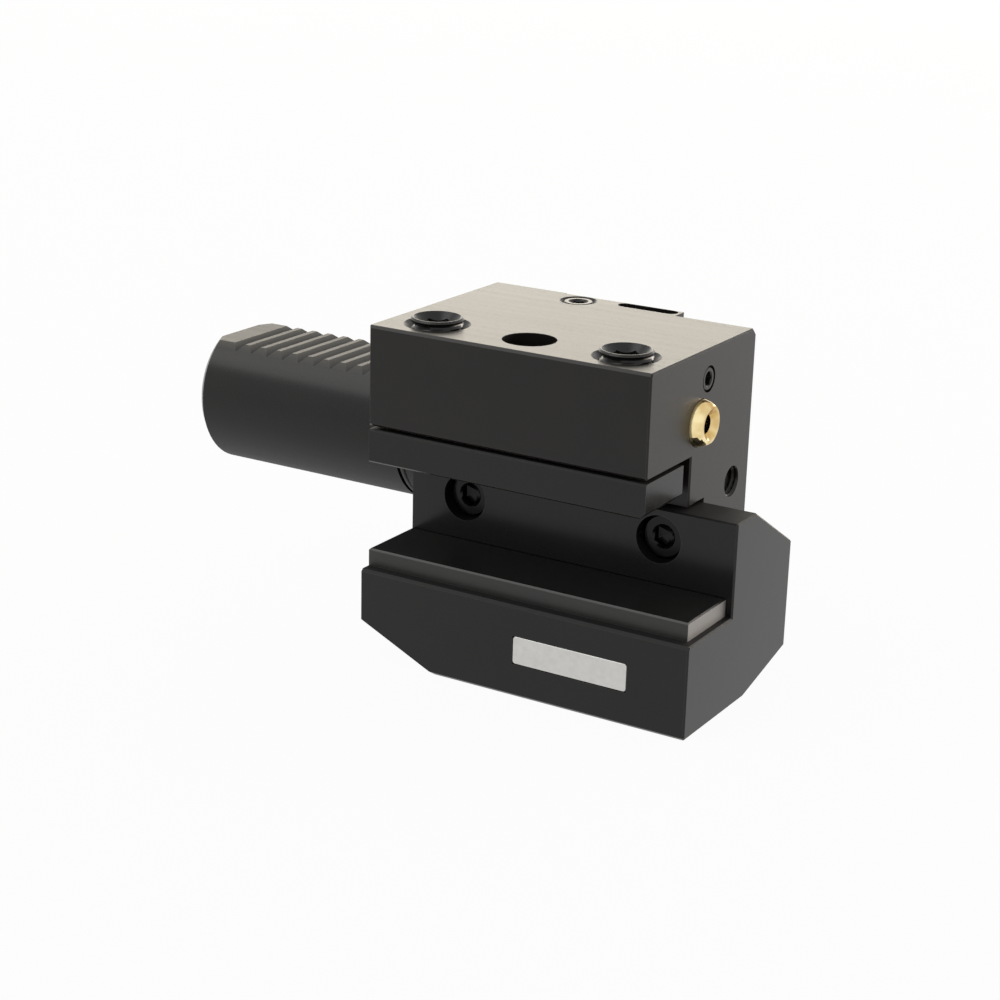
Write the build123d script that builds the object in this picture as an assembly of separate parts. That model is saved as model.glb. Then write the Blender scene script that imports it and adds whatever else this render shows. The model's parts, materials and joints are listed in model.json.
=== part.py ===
from build123d import *
from build123d.topology import SkipClean
import math
import os

# An axial tool holder with a toothed round shank, a clamping slot for a square turning tool,
# and a lower jaw that carries the tool. Lengths are in millimetres.
# The origin is where the shank's axis meets the flange face. +X points away from the turret,
# +Y to the back of the holder and +Z up.

# Shank
shank_radius = 15.0
shank_length = 55.0
shank_end_chamfer = 1.5
flat_height = 12.0
flat_run_in = 13.0
tooth_pitch = 4.0
tooth_depth = 1.4
tooth_angle = 90.0
groove_count = 9
first_groove = 16.2
centre_hole_radius = 3.0
centre_drill_radius = 1.25
centre_drill_depth = 7.0

# Sealing ring on the shank, in a round groove near the flange
ring_wire = 1.5
ring_groove_width = 2.0
ring_groove_depth = 1.6
ring_groove_place = 4.6
ring_sides = 8

# Flange: the rear part of a round contact disc
flange_radius = 34.0
flange_thickness = 16.0
flange_top_slope = 45.0

# Upper block of the body, with an overhang above the clamping slot
block_length = 59.0
block_front = 31.8
block_top = 27.5
overhang_underside = 8.05
back_face = 10.7
back_edge_break = 1.2
web_front = 14.4
pad_length = 42.4
pad_back = 13.8

# Lower web of the body, behind the jaw's leg
lower_web_front = 8.4
lower_web_top = -1.4
lower_web_bottom = -20.0

# Relief pocket in the top of the rear pad
pocket_length = 12.8
pocket_width = 3.0
pocket_rim = 0.6
pocket_depth = 6.0

# Lower jaw
jaw_length = 70.0
jaw_front = 34.0
jaw_bottom = -38.0
jaw_leg_front = 16.4
jaw_leg_top = -2.0
jaw_back = 8.5
jaw_back_slope_low = -12.0
jaw_heel_y = 9.6
jaw_heel_z = -33.5
jaw_corner_length = 16.84
jaw_corner_height = 7.65

# Shallow seat for a blank plate, in the jaw's front
plate_seat_middle_x = 46.0
plate_seat_middle_z = -28.7
plate_seat_length = 24.0
plate_seat_height = 5.6
plate_seat_depth = 0.3

# Support strip under the tool
strip_length = 68.5
strip_front = 31.5
strip_thickness = 3.5

# Clamp bar above the tool
bar_thickness = 6.55
bar_gap = 0.6
bar_back = 17.4
bar_end_chamfer = 1.2
bar_travel = 3.0

# Clamp screws, which press the bar down
clamp_screw_radius = 5.0
clamp_screw_y = -23.3
clamp_screw_inset = 9.5
clamp_screw_stand = 1.4
clamp_screw_socket = 6.0
clamp_screw_socket_depth = 5.0
clamp_mouth_radius = 6.3

# Retaining screw and spring, which carry the bar
retaining_radius = 2.5
retaining_head_radius = 4.25
retaining_head_height = 5.0
retaining_socket = 4.0
retaining_engagement = 5.5
retaining_bore_radius = 2.75
counterbore_radius = 5.1
counterbore_floor = 11.0
spring_wire = 0.8
spring_wire_sides = 6
spring_mean_radius = 3.65
spring_turns = 3.25
spring_solid_height = 3.2

# Screws that hold the jaw to the body
jaw_screw_radius = 2.5
jaw_screw_head_radius = 4.25
jaw_screw_head_height = 3.5
jaw_screw_length = 12.0
jaw_screw_socket = 4.0
jaw_screw_left_x = 12.0
jaw_screw_right_inset = 4.8
jaw_screw_z = -8.0
jaw_counterbore_radius = 4.65
jaw_counterbore_depth = 5.6

# Dowel pins between the jaw and the body
pin_radius = 2.5
pin_length = 12.0
pin_depth_in_leg = 5.0
pin_left_x = 22.0
pin_right_inset = 15.0
pin_z = -12.5

# Screws that hold the strip, from under the jaw
strip_screw_radius = 2.0
strip_screw_head_radius = 3.5
strip_screw_head_height = 4.0
strip_screw_socket = 3.0
strip_screw_left_x = 14.0
strip_screw_right_inset = 12.5
strip_screw_engagement = 2.6
strip_screw_seat = 8.0
strip_counterbore_radius = 3.9

# Coolant channels and their plug screws
channel_radius = 2.5
inlet_radius = 2.9
inlet_depth = 6.0
plug_length = 8.0
plug_hole_depth = 16.0
top_plug_radius = 3.0
top_plug_socket = 3.0
top_plug_recess = 0.9
top_plug_mouth_radius = 3.7
top_plug_x = 21.2
top_plug_y = 9.5
upper_plug_radius = 2.5
upper_plug_socket = 2.5
upper_plug_recess = 0.1
upper_plug_y = -8.8
upper_plug_z = 21.7
lower_plug_radius = 3.0
lower_plug_socket = 3.0
lower_plug_recess = 5.0
lower_plug_y = 3.5
lower_plug_z = -1.0

# Swivelling coolant nozzle
nozzle_radius = 4.5
nozzle_y = -11.5
nozzle_z = 14.0
nozzle_centre_inset = 0.5
nozzle_front = 2.7
nozzle_rear = 3.7
nozzle_hole_radius = 1.9
nozzle_mouth = 0.4
nozzle_seal_wire = 1.8
nozzle_seal_mean_radius = 3.4

# Clearances and edges
running_clearance = 0.06
fixed_clearance = 0.03
edge_break = 0.5
fine_edge = 0.3
screw_end_chamfer = 0.8
tooth_reach = 0.5

# Places worked out from the sizes above
bar_top = overhang_underside - bar_gap
bar_bottom = bar_top - bar_thickness
seat_z = lower_web_bottom
clamp_screw_xs = [clamp_screw_inset, block_length - clamp_screw_inset]
retaining_x = block_length / 2
jaw_screw_xs = [jaw_screw_left_x, block_length - jaw_screw_right_inset]
pin_xs = [pin_left_x, block_length - pin_right_inset]
strip_screw_xs = [strip_screw_left_x, strip_length - strip_screw_right_inset]
clamp_screw_top = block_top + clamp_screw_stand
retaining_seat = counterbore_floor + spring_solid_height + bar_travel
nozzle_x = block_length - nozzle_centre_inset

# Plug screws: mouth of the hole, direction into the body, radius, socket and depth of the screw's end
plug_screws = {
    "upper": ((block_length, upper_plug_y, upper_plug_z), (-1, 0, 0),
              upper_plug_radius, upper_plug_socket, upper_plug_recess),
    "lower": ((block_length, lower_plug_y, lower_plug_z), (-1, 0, 0),
              lower_plug_radius, lower_plug_socket, lower_plug_recess),
    "top": ((top_plug_x, top_plug_y, block_top), (0, 0, -1),
            top_plug_radius, top_plug_socket, top_plug_recess),
}


def round_bar(start, direction, radius, length):
    """A plain cylinder from a point, along a direction."""
    plane = Plane(origin=start, z_dir=direction)
    return extrude(plane * Circle(radius), amount=length)


def cone_mouth(start, direction, radius, depth):
    """A 45 degree mouth that narrows from a face into a hole."""
    plane = Plane(origin=start, z_dir=direction)
    half = Polyline((0, 0), (radius, 0), (radius - depth, depth), (0, depth), close=True)
    return revolve(plane * Plane.XZ * make_face(half), Axis(start, direction))


def hex_recess(start, direction, across, depth):
    """A hexagon socket, sunk from a point along a direction."""
    plane = Plane(origin=start, z_dir=direction)
    return extrude(plane * RegularPolygon(across / 2, 6, major_radius=False), amount=depth)


def set_screw(start, direction, radius, length, socket, socket_depth):
    """A headless screw: its socket end is at the start, and it runs along the direction."""
    plane = Plane(origin=start, z_dir=direction)
    blank = extrude(plane * Circle(radius), amount=length)
    blank = chamfer(blank.faces().sort_by(Axis(start, direction))[0].edges(), min(screw_end_chamfer, radius / 4))
    return blank - hex_recess(start, direction, socket, socket_depth)


def cap_screw(seat, direction, radius, length, head_radius, head_height, socket):
    """A cap screw: the head's underside lies at the seat, and the shank runs along the direction."""
    plane = Plane(origin=seat, z_dir=direction)
    top = plane.from_local_coords((0, 0, -head_height))
    head = extrude(plane * Circle(head_radius), amount=-head_height)
    head = chamfer(head.faces().sort_by(Axis(seat, direction))[0].edges(), fine_edge)
    thread = extrude(plane * Circle(radius), amount=length)
    return head + thread - hex_recess(top, direction, socket, head_height * 0.55)


def x_edges_near(solid, y, z):
    """The edges parallel to X that pass through a point of the cross-section."""
    return solid.edges().filter_by(Axis.X).filter_by(
        lambda e: abs(e.center().Y - y) < 0.01 and abs(e.center().Z - z) < 0.01)


def across_shank(*corners):
    """A cutter of the given outline in X and Z, right across the shank."""
    return extrude(Plane.XZ * make_face(Polyline(*corners, close=True)), amount=shank_radius + 1, both=True)


def shank_root():
    """The shank's length next to the flange: the groove for its ring, and the slope down to the flat."""
    near = -ring_groove_place + ring_groove_width / 2
    far = -ring_groove_place - ring_groove_width / 2
    floor = shank_radius - ring_groove_depth
    outline = Polyline(
        (0, 0), (-flat_run_in, 0), (-flat_run_in, shank_radius), (far, shank_radius), (far, floor),
        (near, floor), (near, shank_radius), (0, shank_radius), close=True)
    slope_start = -flat_run_in + shank_radius - flat_height
    slope = across_shank((-flat_run_in, flat_height), (slope_start, shank_radius), (-flat_run_in, shank_radius))
    return revolve(Plane.XZ * make_face(outline), Axis.X) - slope


def toothed_length():
    """The rest of the shank: its chamfered end, the flat, the teeth across it and the centre hole."""
    outline = Polyline(
        (-flat_run_in, 0), (-shank_length, 0), (-shank_length, shank_radius - shank_end_chamfer),
        (-shank_length + shank_end_chamfer, shank_radius), (-flat_run_in, shank_radius), close=True)
    body = revolve(Plane.XZ * make_face(outline), Axis.X)
    body -= across_shank((-shank_length, flat_height), (-flat_run_in, flat_height),
                         (-flat_run_in, shank_radius), (-shank_length, shank_radius))
    half_width = (tooth_depth + tooth_reach) * math.tan(math.radians(tooth_angle / 2))
    for number in range(groove_count):
        place = -first_groove - number * tooth_pitch
        body -= across_shank((place, flat_height - tooth_depth),
                             (place + half_width, flat_height + tooth_reach),
                             (place - half_width, flat_height + tooth_reach))

    drill = round_bar((-shank_length, 0, 0), (1, 0, 0), centre_drill_radius, centre_drill_depth)
    cone_depth = centre_hole_radius / math.tan(math.radians(30))
    cone = make_face(Polyline((0, 0), (centre_hole_radius, 0), (0, cone_depth), close=True))
    cone_plane = Plane(origin=(-shank_length, 0, 0), x_dir=(0, 0, 1), z_dir=(0, 1, 0))
    cone = revolve(cone_plane * cone, Axis((-shank_length, 0, 0), (1, 0, 0)))
    return body - drill - cone


def flange():
    """The rear part of the round contact disc, sloped at its top."""
    disc = round_bar((0, 0, 0), (1, 0, 0), flange_radius, flange_thickness)
    disc = chamfer(disc.edges().group_by(Axis.X)[-1], edge_break)
    disc = chamfer(disc.edges().group_by(Axis.X)[0], fine_edge)
    reach = flange_radius + 1
    drop = (reach - pad_back) * math.tan(math.radians(flange_top_slope))
    keep = make_face(Polyline(
        (back_face, -reach), (reach, -reach), (reach, block_top - drop),
        (pad_back, block_top), (back_face, block_top), close=True))
    return disc & extrude(Plane.YZ * keep, amount=flange_thickness)


def block():
    """The upper block with its overhang, the web down to the jaw, and the rear pad."""
    section = make_face(Polyline(
        (-block_front, overhang_underside), (-web_front, overhang_underside),
        (-web_front, lower_web_top), (-lower_web_front, lower_web_top),
        (-lower_web_front, lower_web_bottom), (back_face, lower_web_bottom),
        (back_face, block_top), (-block_front, block_top), close=True))
    solid = extrude(Plane.YZ * section, amount=block_length)
    solid = chamfer(x_edges_near(solid, back_face, block_top), back_edge_break)
    for y, z in [(-block_front, block_top), (-block_front, overhang_underside),
                 (back_face, lower_web_bottom)]:
        solid = chamfer(x_edges_near(solid, y, z), edge_break)
    solid = chamfer(solid.faces().sort_by(Axis.X)[-1].edges(), fine_edge)
    left_front = solid.edges().filter_by(Axis.Z).sort_by(lambda e: e.center().X + e.center().Y)[0]
    solid = chamfer(left_front, fine_edge)
    pad_height = block_top - lower_web_bottom
    pad = Pos(pad_length / 2, (pad_back + web_front) / 2 - web_front, block_top - pad_height / 2) * Box(
        pad_length, pad_back + web_front, pad_height)
    pad -= extrude(Plane.YZ * make_face(Polyline(
        (-web_front - 1, lower_web_bottom - 1), (-lower_web_front, lower_web_bottom - 1),
        (-lower_web_front, lower_web_top), (-web_front - 1, lower_web_top), close=True)), amount=pad_length)
    pad = chamfer(x_edges_near(pad, pad_back, block_top), edge_break)
    right_back = pad.edges().filter_by(Axis.Z).sort_by(lambda e: e.center().X + e.center().Y)[-1]
    pad = chamfer(right_back, edge_break)
    return solid + pad


def relief_pocket():
    """The narrow pocket in the pad's top, with rounded ends."""
    middle = (pad_length - pocket_rim - pocket_length / 2, pad_back - pocket_rim - pocket_width / 2, block_top)
    plane = Plane(origin=middle, z_dir=(0, 0, -1))
    return extrude(plane * SlotOverall(pocket_length, pocket_width), amount=pocket_depth)


def nozzle_seal_place():
    """How far the seal's centre plane lies behind the ball's centre, so that the two just clear."""
    reach = nozzle_radius + nozzle_seal_wire / 2 + fixed_clearance
    return math.sqrt(reach ** 2 - nozzle_seal_mean_radius ** 2)


def holder_body():
    """The body in one piece. The toothed length is joined last, and the edge where its flat begins stays."""
    body = shank_root() + flange() + block()
    for x in clamp_screw_xs:
        place = (x, clamp_screw_y, block_top)
        body -= round_bar(place, (0, 0, -1), clamp_screw_radius + running_clearance,
                          block_top - overhang_underside)
        body -= cone_mouth(place, (0, 0, -1), clamp_mouth_radius, clamp_mouth_radius - clamp_screw_radius)
    place = (retaining_x, clamp_screw_y, block_top)
    body -= round_bar(place, (0, 0, -1), counterbore_radius, block_top - counterbore_floor)
    body -= round_bar(place, (0, 0, -1), retaining_bore_radius, block_top - overhang_underside)
    body -= relief_pocket()

    for x in jaw_screw_xs:
        depth = jaw_screw_length + jaw_counterbore_depth - (jaw_leg_front - lower_web_front) + 1
        body -= round_bar((x, -lower_web_front, jaw_screw_z), (0, 1, 0),
                          jaw_screw_radius + fixed_clearance, depth)
    for x in pin_xs:
        body -= round_bar((x, -lower_web_front, pin_z), (0, 1, 0), pin_radius + fixed_clearance,
                          pin_length - pin_depth_in_leg + 0.5)

    body -= round_bar((0, nozzle_y, nozzle_z), (1, 0, 0), channel_radius, block_length)
    body -= round_bar((0, nozzle_y, nozzle_z), (1, 0, 0), inlet_radius, inlet_depth)
    seat_depth = nozzle_centre_inset + nozzle_seal_place() + nozzle_seal_wire / 2 + fixed_clearance
    body -= round_bar((block_length, nozzle_y, nozzle_z), (-1, 0, 0),
                      nozzle_radius + running_clearance, seat_depth)

    for place, direction, radius, _, _ in plug_screws.values():
        body -= round_bar(place, direction, radius + fixed_clearance, plug_hole_depth)
    body -= cone_mouth((top_plug_x, top_plug_y, block_top), (0, 0, -1), top_plug_mouth_radius,
                       top_plug_mouth_radius - top_plug_radius)
    with SkipClean():
        return body + toothed_length()


def lower_jaw():
    """The jaw: a foot and a leg along the body, and an end lug that closes the pocket behind the leg."""
    section = make_face(Polyline(
        (-jaw_front, jaw_bottom), (-jaw_heel_y, jaw_bottom), (jaw_back, jaw_heel_z),
        (jaw_back, jaw_back_slope_low), (-lower_web_front, jaw_leg_top), (-jaw_leg_front, jaw_leg_top),
        (-jaw_leg_front, seat_z), (-jaw_front, seat_z), close=True))
    jaw = extrude(Plane.YZ * section, amount=jaw_length)
    jaw = chamfer(x_edges_near(jaw, -jaw_front, seat_z), edge_break)
    jaw = chamfer(x_edges_near(jaw, -jaw_front, jaw_bottom), edge_break)
    jaw = chamfer(x_edges_near(jaw, -jaw_leg_front, jaw_leg_top), fine_edge)
    pocket_height = jaw_leg_top + 1 - seat_z
    jaw -= Pos(block_length / 2, (jaw_back + 1 - lower_web_front) / 2, seat_z + pocket_height / 2) * Box(
        block_length, jaw_back + 1 + lower_web_front, pocket_height)
    corner = make_face(Polyline(
        (0, jaw_bottom), (jaw_corner_length, jaw_bottom), (0, jaw_bottom + jaw_corner_height), close=True))
    jaw -= extrude(Plane.XZ * corner, amount=jaw_front + jaw_back, both=True)
    jaw = chamfer(jaw.faces().sort_by(Axis.X)[-1].edges(), fine_edge)
    jaw -= Pos(plate_seat_middle_x, -jaw_front, plate_seat_middle_z) * Box(
        plate_seat_length, 2 * plate_seat_depth, plate_seat_height)
    for x in jaw_screw_xs:
        jaw -= round_bar((x, -jaw_leg_front, jaw_screw_z), (0, 1, 0), jaw_counterbore_radius, jaw_counterbore_depth)
        jaw -= round_bar((x, -jaw_leg_front, jaw_screw_z), (0, 1, 0), jaw_screw_radius + fixed_clearance,
                         jaw_leg_front - lower_web_front)
    for x in pin_xs:
        jaw -= round_bar((x, -lower_web_front, pin_z), (0, -1, 0), pin_radius + fixed_clearance,
                         pin_depth_in_leg)
    for x in strip_screw_xs:
        foot = (x, strip_screw_y(), jaw_bottom)
        jaw -= round_bar(foot, (0, 0, 1), strip_counterbore_radius, seat_z - jaw_bottom - strip_screw_seat)
        jaw -= round_bar(foot, (0, 0, 1), strip_screw_radius + fixed_clearance, seat_z - jaw_bottom)
    return jaw


def strip_screw_y():
    """The strip's screws stand on its middle line."""
    return -(strip_front + jaw_leg_front) / 2


def support_strip():
    """The plate that the tool lies on."""
    width = strip_front - jaw_leg_front
    strip = Pos(strip_length / 2, strip_screw_y(), seat_z + strip_thickness / 2) * Box(
        strip_length, width, strip_thickness)
    strip = chamfer(strip.faces().sort_by(Axis.Z)[-1].edges(), fine_edge)
    for x in strip_screw_xs:
        strip -= round_bar((x, strip_screw_y(), seat_z), (0, 0, 1), strip_screw_radius + fixed_clearance,
                           strip_screw_engagement + 0.3)
    return strip


def clamp_bar():
    """The bar that presses on the tool, with a threaded hole for the retaining screw."""
    width = block_front - bar_back
    bar = Pos(block_length / 2, -(block_front + bar_back) / 2, bar_bottom + bar_thickness / 2) * Box(
        block_length, width, bar_thickness)
    lower_end = bar.edges().filter_by(Axis.Y).sort_by(lambda e: e.center().X - e.center().Z)[-1]
    bar = chamfer(lower_end, bar_end_chamfer)
    for y, z in [(-block_front, bar_top), (-block_front, bar_bottom)]:
        bar = chamfer(x_edges_near(bar, y, z), fine_edge)
    return bar - round_bar((retaining_x, clamp_screw_y, bar_bottom), (0, 0, 1),
                           retaining_radius + fixed_clearance, bar_thickness)


def retaining_spring():
    """The spring between the counterbore's floor and the retaining screw's head."""
    bottom = counterbore_floor + spring_wire / 2 + fixed_clearance
    top = retaining_seat - spring_wire / 2 - fixed_clearance
    line = Helix(pitch=(top - bottom) / spring_turns, height=top - bottom, radius=spring_mean_radius)
    section = Plane(origin=line @ 0, z_dir=line % 0) * RegularPolygon(spring_wire / 2, spring_wire_sides)
    return Pos(retaining_x, clamp_screw_y, bottom) * sweep(section, path=line)


def coolant_nozzle():
    """A ball with a flat front, a flat rear and a through hole."""
    front_rim = math.sqrt(nozzle_radius ** 2 - nozzle_front ** 2)
    rear_rim = math.sqrt(nozzle_radius ** 2 - nozzle_rear ** 2)
    outline = ThreePointArc((-nozzle_rear, rear_rim), (0, nozzle_radius), (nozzle_front, front_rim))
    inside = Polyline(
        (nozzle_front, front_rim), (nozzle_front, nozzle_hole_radius + nozzle_mouth),
        (nozzle_front - nozzle_mouth, nozzle_hole_radius), (-nozzle_rear, nozzle_hole_radius),
        (-nozzle_rear, rear_rim))
    ball = revolve(Plane.XZ * make_face([outline, inside]), Axis.X)
    return Pos(nozzle_x, nozzle_y, nozzle_z) * ball


def ring(centre, direction, mean_radius, wire):
    """A sealing ring: a many-sided section, near enough round, turned about the axis."""
    section = Pos(mean_radius, 0) * RegularPolygon(wire / 2, ring_sides)
    plane = Plane(origin=centre, z_dir=direction)
    return revolve(plane * Plane.XZ * section, Axis(centre, direction))


parts = {
    "holder_body": holder_body(),
    "lower_jaw": lower_jaw(),
    "support_strip": support_strip(),
    "clamp_bar": clamp_bar(),
    "retaining_screw": cap_screw(
        (retaining_x, clamp_screw_y, retaining_seat), (0, 0, -1), retaining_radius,
        retaining_seat - bar_top + retaining_engagement,
        retaining_head_radius, retaining_head_height, retaining_socket),
    "retaining_spring": retaining_spring(),
    "coolant_nozzle": coolant_nozzle(),
    "nozzle_seal": ring((nozzle_x - nozzle_seal_place(), nozzle_y, nozzle_z), (1, 0, 0),
                        nozzle_seal_mean_radius, nozzle_seal_wire),
    "shank_ring": ring((-ring_groove_place, 0, 0), (1, 0, 0),
                       shank_radius - ring_groove_depth + ring_wire / 2 + fixed_clearance, ring_wire),
}

for side, x in zip(["left", "right"], clamp_screw_xs):
    parts["clamp_screw_" + side] = set_screw(
        (x, clamp_screw_y, clamp_screw_top), (0, 0, -1), clamp_screw_radius,
        clamp_screw_top - bar_top, clamp_screw_socket, clamp_screw_socket_depth)
for side, x in zip(["left", "right"], jaw_screw_xs):
    parts["jaw_screw_" + side] = cap_screw(
        (x, -jaw_leg_front + jaw_counterbore_depth, jaw_screw_z), (0, 1, 0), jaw_screw_radius,
        jaw_screw_length, jaw_screw_head_radius, jaw_screw_head_height, jaw_screw_socket)
for side, x in zip(["left", "right"], pin_xs):
    pin = round_bar((x, -lower_web_front - pin_depth_in_leg, pin_z), (0, 1, 0), pin_radius, pin_length)
    parts["jaw_pin_" + side] = chamfer(pin.edges().filter_by(GeomType.CIRCLE), fine_edge)
for side, x in zip(["left", "right"], strip_screw_xs):
    parts["strip_screw_" + side] = cap_screw(
        (x, strip_screw_y(), seat_z - strip_screw_seat), (0, 0, 1), strip_screw_radius,
        strip_screw_seat + strip_screw_engagement, strip_screw_head_radius,
        strip_screw_head_height, strip_screw_socket)
for name, (mouth, direction, radius, socket, recess) in plug_screws.items():
    start = Vector(*mouth) + Vector(*direction) * recess
    parts[name + "_plug_screw"] = set_screw(start, direction, radius, plug_length, socket, socket)

os.makedirs("parts", exist_ok=True)
for name, solid in parts.items():
    export_step(solid, "parts/" + name + ".step")
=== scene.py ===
import json
import math

import bpy
import numpy as np
from mathutils import Matrix, Vector

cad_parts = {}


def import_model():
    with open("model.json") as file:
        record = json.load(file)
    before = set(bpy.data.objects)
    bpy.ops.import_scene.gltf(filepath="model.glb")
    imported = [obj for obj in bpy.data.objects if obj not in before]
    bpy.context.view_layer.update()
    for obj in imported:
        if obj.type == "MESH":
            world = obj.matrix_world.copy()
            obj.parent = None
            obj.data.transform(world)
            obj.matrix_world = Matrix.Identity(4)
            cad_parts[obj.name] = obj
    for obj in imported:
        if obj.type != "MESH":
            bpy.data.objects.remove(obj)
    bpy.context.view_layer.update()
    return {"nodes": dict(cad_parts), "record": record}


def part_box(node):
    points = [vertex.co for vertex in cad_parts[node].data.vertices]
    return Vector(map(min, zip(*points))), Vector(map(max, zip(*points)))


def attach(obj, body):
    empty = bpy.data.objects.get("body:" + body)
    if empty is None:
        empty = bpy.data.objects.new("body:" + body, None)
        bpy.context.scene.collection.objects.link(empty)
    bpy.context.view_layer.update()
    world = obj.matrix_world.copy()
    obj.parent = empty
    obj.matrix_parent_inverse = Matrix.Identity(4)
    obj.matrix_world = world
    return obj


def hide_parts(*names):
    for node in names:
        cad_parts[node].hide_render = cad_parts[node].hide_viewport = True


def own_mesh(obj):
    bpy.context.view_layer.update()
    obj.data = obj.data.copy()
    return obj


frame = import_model()

MM = 0.001
WHITE = (1.0, 1.0, 1.0, 1.0)

# Camera: where it stands, the way it looks, and the small turn about its own axis
CAMERA_PLACE = Vector((222.7, -354.8, 123.4)) * MM
CAMERA_LOOK = Vector((-0.4932, 0.8093, -0.3190))
CAMERA_ROLL = math.radians(1.385)
CAMERA_LENS = 78.0
CAMERA_SENSOR = 36.0
CAMERA_SHIFT = (0.016, 0.0115)
CAMERA_NEAR = 0.01
CAMERA_FAR = 50.0

# The floor lies under the lowest face
FLOOR_SIZE = 8.0
FLOOR_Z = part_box("lower_jaw")[0].z
FLOOR_WHITE = 0.95
FLOOR_STEPS = 9

# Softboxes: place, target, width, height, brightness of the face, colour
SOFTBOXES = {
    "back_left": ((-1.05, 1.70, 0.68), (0.02, 0.0, 0.03), 1.7, 1.0, 2.75, (1.0, 0.905, 0.74)),
    "back_right": ((0.85, 1.25, 0.18), (0.06, 0.0, 0.0), 1.9, 0.38, 9.0, (1.0, 0.90, 0.80)),
    "high_left": ((-0.80, -0.80, 1.45), (-0.02, 0.0, 0.0), 1.3, 1.3, 1.8, (1.0, 0.99, 0.97)),
}
SKY_STRENGTH = 0.4

# Threads: pitch and depth in millimetres for each screw radius, and the rings drawn for each pitch
THREADS = {2.0: (0.7, 0.38), 2.5: (0.8, 0.43), 3.0: (1.0, 0.54), 5.0: (1.5, 0.81)}
THREAD_STEPS = 8
# The thread's wave: steepness of the flanks, flat at the root, and share of a pitch over which it fades out
THREAD_SLOPE = 2.4
THREAD_ROOT = 0.2
THREAD_FADE = 0.7
# Gap between a screw's plain neck or chamfer and its first thread ring
THREAD_START = 0.02
SCREW_SIDES = 96

# Sockets: the floor's width as a share of the socket's, the step above it, and the depth of the drilled cone
# below it as a share of the socket's width
SOCKET_FLOOR = 0.98
SOCKET_STEP = 0.05
DRILL_POINT = 0.2

# A headless screw's cupped point, as shares of the screw's radius
CUP_OUTER = 0.62
CUP_INNER = 0.5
CUP_DEPTH = 0.3

# A cap screw's head: its top bevel, and how far that falls as a share of it
HEAD_SIDES = 144
HEAD_BEVEL = 0.35
HEAD_BEVEL_FALL = 0.7
# The knurl: grooves and depth, how far it starts below the bevel and ends above the foot
KNURL_GROOVES = 72
KNURL_DEPTH = 0.12
KNURL_START = 0.15
KNURL_END = 0.45
# The plain bands beyond the knurl: how far they lie inside the head's radius, and the lower one's height
BAND_INSET = 0.13
BAND_HEIGHT = 0.3
# The foot's bevel, the plain neck under the head, the socket's depth as a share of the head's height, its
# mouth's radius past the hexagon's corners, and the point's height and its radius as a share of the screw's
FOOT_BEVEL = 0.2
NECK = 0.6
CAP_SOCKET_SHARE = 0.55
CAP_MOUTH_EXTRA = 0.1
POINT_HEIGHT = 0.5
POINT_SHARE = 0.8

# The thread in a hole's mouth is a sleeve: how far it goes into the wall, how far it stands out of the wall
# at the thread's root, and its depth as a share of the screw thread's
SLEEVE_SINK = 0.03
SLEEVE_STAND = 0.01
SLEEVE_DEPTH_SHARE = 0.85

# Headless screws in millimetres: socket end, way in, radius, length and edge, the socket's width, depth and
# mouth radius, and the body
SET_SCREWS = {
    "clamp_screw_left": ((9.5, -23.3, 28.9), (0, 0, -1), 5.0, 21.45, 0.35, 6.0, 5.0, 4.5, "screw_left"),
    "clamp_screw_right": ((49.5, -23.3, 28.9), (0, 0, -1), 5.0, 21.45, 0.35, 6.0, 5.0, 4.5, "screw_right"),
    "upper_plug_screw": ((58.9, -8.8, 21.7), (-1, 0, 0), 2.5, 8.0, 0.5, 2.5, 2.5, 1.5, "holder"),
    "lower_plug_screw": ((54.0, 3.5, -1.0), (-1, 0, 0), 3.0, 8.0, 0.6, 3.0, 3.0, 1.8, "holder"),
    "top_plug_screw": ((21.2, 9.5, 27.4), (0, 0, -1), 3.0, 8.8, 0.3, 3.0, 3.0, 2.0, "holder"),
}
# Head's top, way in, head radius and height, thread radius and length, socket width, body
CAP_SCREWS = {
    "jaw_screw_left": ((12.0, -14.3, -8.0), (0, 1, 0), 4.25, 3.5, 2.5, 12.0, 4.0, "holder"),
    "jaw_screw_right": ((54.2, -14.3, -8.0), (0, 1, 0), 4.25, 3.5, 2.5, 12.0, 4.0, "holder"),
    "strip_screw_left": ((14.0, -23.95, -32.0), (0, 0, 1), 3.5, 4.0, 2.0, 10.6, 3.0, "holder"),
    "strip_screw_right": ((56.0, -23.95, -32.0), (0, 0, 1), 3.5, 4.0, 2.0, 10.6, 3.0, "holder"),
    "retaining_screw": ((29.5, -23.3, 22.2), (0, 0, -1), 4.25, 5.0, 2.5, 15.25, 4.0, "bar"),
}
# Thread seen in the mouth of a hole: where it starts, way in, hole radius, screw radius and length
HOLE_THREADS = {
    "lower_plug_thread": ((58.9, 3.5, -1.0), (-1, 0, 0), 3.03, 3.0, 4.85),
}
# Rings: centre, axis, mean radius and wire radius, and how many sides they have round the ring and the wire
RINGS = {
    "shank_ring": ((-4.6, 0, 0), (-1, 0, 0), 14.18, 0.75),
    "nozzle_seal": ((54.266, -11.5, 14.0), (-1, 0, 0), 3.4, 0.88),
}
RING_SIDES = 160
RING_WIRE_SIDES = 20

# The nozzle: centre, ball radius, front and rear flats, hole, and the radius of its wide mouth
NOZZLE_CENTRE = (58.5, -11.5, 14.0)
BALL_RADIUS = 4.5
BALL_FRONT = 2.7
BALL_REAR = 3.7
NOZZLE_HOLE = 1.8
NOZZLE_MOUTH = 2.8
# Small breaks of its edges: the front flat's rim and its swell, the wide mouth, and the hole's rear end
RIM_BREAK = 0.08
RIM_SWELL = 0.02
MOUTH_BREAK = 0.05
REAR_BREAK = 0.3
BALL_SIDES = 144
BALL_STEPS = 40

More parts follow.
